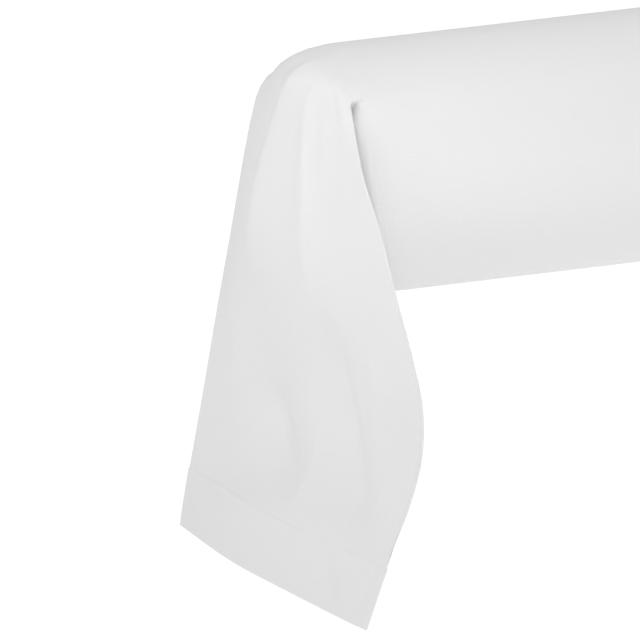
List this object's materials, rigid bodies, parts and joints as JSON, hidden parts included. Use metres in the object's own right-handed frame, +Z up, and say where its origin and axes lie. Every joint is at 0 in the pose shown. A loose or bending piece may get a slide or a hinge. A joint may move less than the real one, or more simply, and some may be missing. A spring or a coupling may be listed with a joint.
{
  "type": "bolster pillowcase on a bolster",
  "caption": "Plain white cotton bolster pillowcase on a round bolster, its empty ends kinked over the bolster's ends and hanging down as flat open tubes with turned hems.",
  "frame": {"origin": "middle of the flat strip along the underside, where the bolster lies on its support", "axes": "+X along the bolster, -Y the front with the wider side folds, +Z up; the two ends hang below the origin"},
  "size_m": [0.9948, 0.4299, 0.5381],
  "materials": {
    "cotton": "matte white cotton percale"
  },
  "bodies": {
    "root": {"pillowcase": "cotton"}
  },
  "joints": []
}
